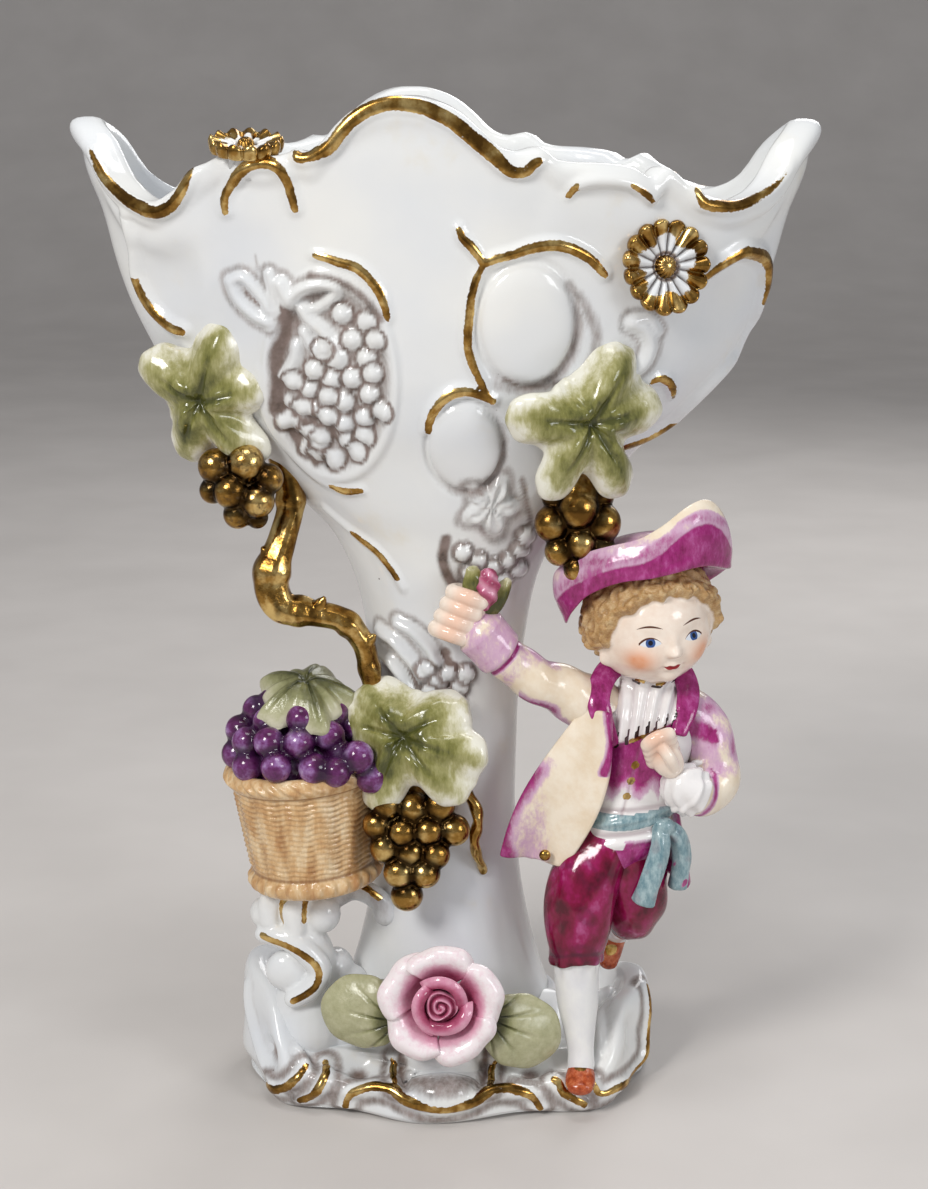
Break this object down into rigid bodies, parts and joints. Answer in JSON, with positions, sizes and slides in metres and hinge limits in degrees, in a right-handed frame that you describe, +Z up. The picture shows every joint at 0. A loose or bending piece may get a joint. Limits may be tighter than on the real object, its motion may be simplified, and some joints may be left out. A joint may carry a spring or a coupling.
{
  "type": "figural vase",
  "caption": "Fan-shaped porcelain vase on a slender stem, with a standing figure, a fruit basket, gilt vines and a rose applied over a scrolled plinth.",
  "frame": {"origin": "middle of the plinth's underside, at the middle of the overall box", "axes": "+Z up, the decorated front faces -Y, and +X is the figure's side"},
  "size_m": [0.1614, 0.0729, 0.2254],
  "materials": {
    "porcelain": "clear glossy glaze over white porcelain",
    "gilding": "burnished gilding, worn at the edges",
    "leaf_green": "glossy glaze over brushed sage green",
    "rose_pink": "glossy glaze over pink",
    "wicker_tan": "glossy glaze over tan orange",
    "grape_violet": "glossy glaze over deep violet",
    "coat_cream": "glossy glaze over cream",
    "hat_magenta": "glossy glaze over brushed magenta",
    "breeches_crimson": "glossy glaze over crimson",
    "face_paint": "glossy glaze over pale flesh",
    "sash_blue": "glossy glaze over grey blue"
  },
  "bodies": {
    "root": {"plinth": "porcelain", "vase_body": "porcelain", "scroll_bracket": "porcelain", "rose_cone": "porcelain", "branch_handle": "gilding", "grape_bunch_right": "gilding", "grape_bunch_left": "gilding", "grape_bunch_centre": "gilding", "gilt_tendril": "gilding", "daisy_right": "gilding", "daisy_left": "gilding", "basket_leaf": "leaf_green", "vine_leaf_right": "leaf_green", "vine_leaf_left": "leaf_green", "vine_leaf_centre": "leaf_green", "rose_leaf_left": "leaf_green", "rose_leaf_right": "leaf_green", "posy_leaf_upper": "leaf_green", "posy_leaf_lower": "leaf_green", "rose_heart": "rose_pink", "rose_inner_petal_1": "rose_pink", "rose_inner_petal_2": "rose_pink", "rose_inner_petal_3": "rose_pink", "rose_outer_petal_1": "rose_pink", "rose_outer_petal_2": "rose_pink", "rose_outer_petal_3": "rose_pink", "rose_outer_petal_4": "rose_pink", "rose_outer_petal_5": "rose_pink", "posy_bud": "rose_pink", "basket": "wicker_tan", "basket_grapes": "grape_violet", "boy_trunk": "coat_cream", "boy_raised_arm": "coat_cream", "boy_bent_arm": "coat_cream", "boy_coat_front": "coat_cream", "boy_coat_tails": "coat_cream", "boy_hat": "hat_magenta", "boy_front_leg": "breeches_crimson", "boy_rear_leg": "breeches_crimson", "boy_head": "face_paint", "boy_sash_ends": "sash_blue"}
  },
  "joints": []
}
